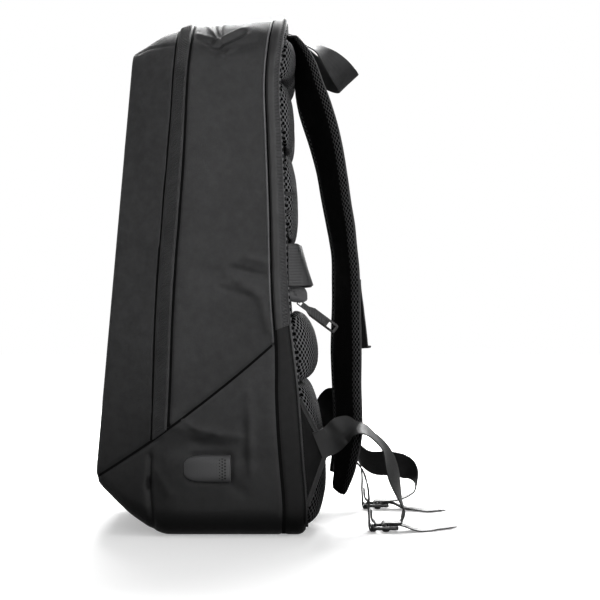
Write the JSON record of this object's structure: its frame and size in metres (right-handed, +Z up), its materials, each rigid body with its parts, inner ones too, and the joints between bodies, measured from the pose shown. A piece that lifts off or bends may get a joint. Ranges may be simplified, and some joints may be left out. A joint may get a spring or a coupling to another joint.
{
  "type": "laptop backpack",
  "caption": "Upright laptop backpack with a slanted boot, ribbed zip flaps, mesh back pads, padded straps, a trolley band and a side charging outlet.",
  "frame": {"origin": "middle of the flat base, on the floor", "axes": "+Z up, -Y the way the bag's front face looks, +Y the wearer's side with the straps, +X the wearer's right"},
  "size_m": [0.3234, 0.325, 0.4618],
  "materials": {
    "shell_fabric": "dark grey coated polyester, faint sheen",
    "ribbed_fabric": "dark grey ribbed rain flap",
    "air_mesh": "black spacer mesh over foam",
    "webbing": "dark grey woven webbing",
    "black_plastic": "satin black",
    "outlet_plastic": "dark grey, fine matt"
  },
  "bodies": {
    "bag": {"front_panel": "shell_fabric", "main_gusset": "shell_fabric", "boot_panel": "shell_fabric", "laptop_gusset": "shell_fabric", "back_panel": "shell_fabric", "front_zip_flap": "ribbed_fabric", "rear_zip_flap": "ribbed_fabric", "back_pad_1_right": "air_mesh", "back_pad_1_left": "air_mesh", "back_pad_2_right": "air_mesh", "back_pad_2_left": "air_mesh", "back_pad_3_right": "air_mesh", "back_pad_3_left": "air_mesh", "back_pad_4_right": "air_mesh", "back_pad_4_left": "air_mesh", "back_pad_5_right": "air_mesh", "back_pad_5_left": "air_mesh", "shoulder_strap_right": "air_mesh", "shoulder_strap_left": "air_mesh", "strap_webbing_right": "webbing", "strap_webbing_left": "webbing", "strap_tab_right": "webbing", "strap_tab_left": "webbing", "ladder_lock_right": "black_plastic", "ladder_lock_left": "black_plastic", "side_wing_right": "shell_fabric", "side_wing_left": "shell_fabric", "adjuster_webbing_right": "webbing", "adjuster_webbing_left": "webbing", "grab_handle": "webbing", "trolley_band": "webbing", "pocket_flap": "shell_fabric", "pocket_zip": "ribbed_fabric", "pocket_zip_slider": "black_plastic", "outlet_housing": "outlet_plastic", "outlet_socket": "black_plastic", "front_zip_pull": "black_plastic", "rear_zip_pull": "black_plastic"},
    "zip_pull": {"pocket_zip_pull": "black_plastic"}
  },
  "joints": [
    {"name": "zip_pull_swing", "type": "hinge", "parent": "bag", "child": "zip_pull", "pos_m": [0.12, 0.05582, 0.20575], "axis": [1, 0, 0], "range_deg": [-17, 35]}
  ]
}
